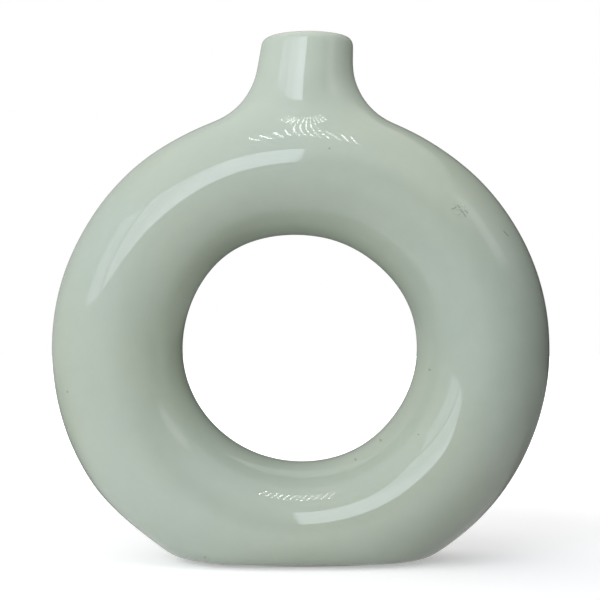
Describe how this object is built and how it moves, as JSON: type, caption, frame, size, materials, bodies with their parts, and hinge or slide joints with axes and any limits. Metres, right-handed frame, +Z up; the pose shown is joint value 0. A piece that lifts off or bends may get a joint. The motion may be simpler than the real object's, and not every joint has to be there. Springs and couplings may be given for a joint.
{
  "type": "donut vase",
  "caption": "Ring-shaped ceramic vase with a short flared neck on top, a hollow body for water and stems, and a flat oval foot.",
  "frame": {"origin": "on the table, under the middle of the ring", "axes": "+Z up, +X to the right seen from the front, the way the neck leans, +Y from front to back through the ring's hole"},
  "size_m": [0.19, 0.056, 0.2],
  "materials": {
    "bisque": "dry, unglazed",
    "celadon_glaze": "glossy pale sage glaze",
    "liner_glaze": "glossy pale sage glaze"
  },
  "bodies": {
    "root": {"clay_body": "bisque", "outer_glaze": "celadon_glaze", "inner_glaze": "liner_glaze"}
  },
  "joints": []
}
